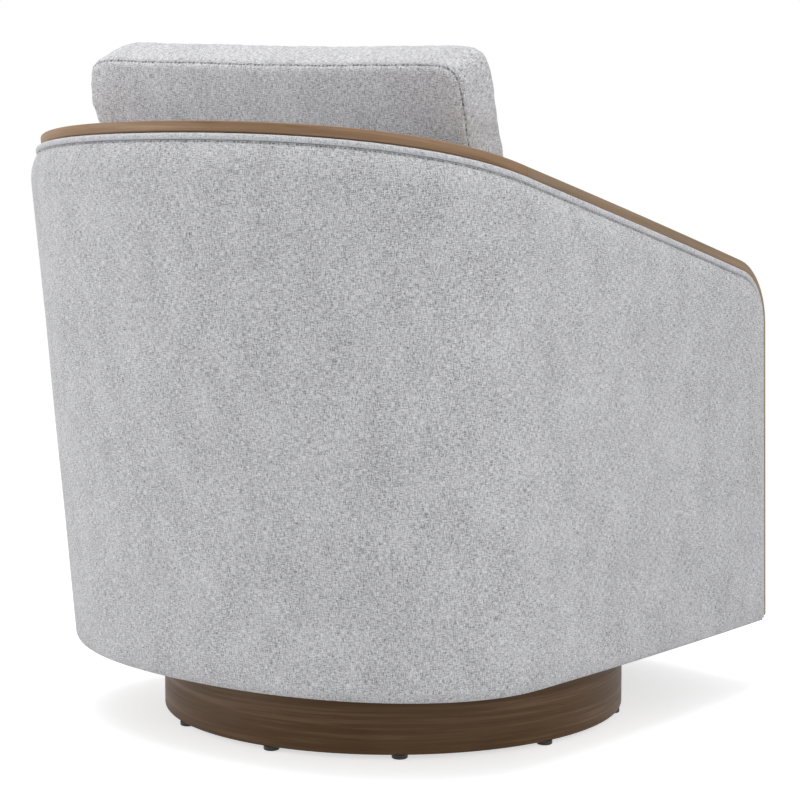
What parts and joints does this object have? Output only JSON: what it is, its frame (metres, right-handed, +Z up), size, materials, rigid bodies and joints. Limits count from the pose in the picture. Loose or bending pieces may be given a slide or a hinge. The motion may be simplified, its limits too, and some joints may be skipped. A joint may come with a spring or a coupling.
{
  "type": "swivel rocker armchair",
  "caption": "Upholstered barrel chair that swivels and rocks: wrap-around padded shell under a sloping wood cap, loose cushions, round wood plinth, ball swivel and sprung rocker.",
  "frame": {"origin": "on the floor, on the swivel axis at the centre of the round plinth", "axes": "+X to the sitter's left, +Y to the rear, +Z up; the sitter faces -Y"},
  "size_m": [0.7122, 0.8661, 0.8118],
  "materials": {
    "tweed": "matte heathered tweed",
    "stained_cap_back": "brown stain under satin lacquer",
    "stained_cap_arm": "grey-brown stain under satin lacquer",
    "stained_plinth": "dark brown stain under satin lacquer",
    "plywood": "raw",
    "timber": "raw",
    "nylon": "moulded",
    "zinc_steel": "zinc plated",
    "spring_steel": "black lacquer",
    "brass": "rolled",
    "black_plastic": "moulded",
    "rubber": "moulded",
    "deck_felt": "pressed felt",
    "black_cloth": "woven",
    "board": "raw fibreboard"
  },
  "bodies": {
    "base": {"plinth_wall_ring": "stained_plinth", "plinth_platform": "plywood", "plinth_blocks": "timber", "glides": "nylon", "glide_nails": "zinc_steel", "swivel_lower_plate": "zinc_steel", "lower_plate_bolts": "zinc_steel", "kingpin": "zinc_steel"},
    "ball_cage": {"bearing_balls": "zinc_steel", "ball_retainer": "brass"},
    "turntable": {"swivel_upper_plate": "zinc_steel", "rocker_base": "zinc_steel", "rocker_base_bolts": "zinc_steel", "pivot_bushes": "nylon", "spring_cups_lower": "black_plastic", "stop_posts": "zinc_steel", "bump_stops": "rubber", "rocker_springs_front": "spring_steel", "rocker_springs_rear": "spring_steel"},
    "seat": {"rocker_seat_plate": "zinc_steel", "pivot_shaft": "zinc_steel", "shaft_clips": "spring_steel", "spring_cups_upper": "black_plastic", "seat_plate_bolts": "zinc_steel", "cross_rails": "timber", "side_rail_left": "timber", "side_rail_right": "timber", "front_rail": "timber", "rear_rail": "timber", "corner_blocks": "timber", "lower_hoop": "plywood", "seat_hoop": "plywood", "rear_struts": "timber", "arm_posts_front": "timber", "arm_posts_rear": "timber", "back_ribs": "plywood", "top_rail": "plywood", "seat_springs": "spring_steel", "spring_clips": "spring_steel", "seat_deck": "deck_felt", "dust_cover": "black_cloth", "outer_board": "board", "outer_cover": "tweed", "welt": "tweed", "inner_cover": "tweed", "front_panel": "tweed", "cap_back": "stained_cap_back", "cap_arm_left": "stained_cap_arm", "cap_arm_right": "stained_cap_arm", "seat_cushion": "tweed", "back_cushion": "tweed"}
  },
  "joints": [
    {"name": "swivel", "type": "hinge", "parent": "base", "child": "turntable", "pos_m": [0, 0, 0.053], "axis": [0, 0, 1], "continuous": true},
    {"name": "cage_turn", "type": "hinge", "parent": "base", "child": "ball_cage", "pos_m": [0, 0, 0.053], "axis": [0, 0, 1], "continuous": true},
    {"name": "rock", "type": "hinge", "parent": "turntable", "child": "seat", "pos_m": [0, 0, 0.102], "axis": [1, 0, 0], "range_deg": [-6, 4], "stiffness_Nm_per_rad": 1200, "deforming": ["rocker_springs_front", "rocker_springs_rear"]}
  ],
  "couplings": [
    {"joint": "cage_turn", "follows": "swivel", "ratio": 0.5}
  ]
}
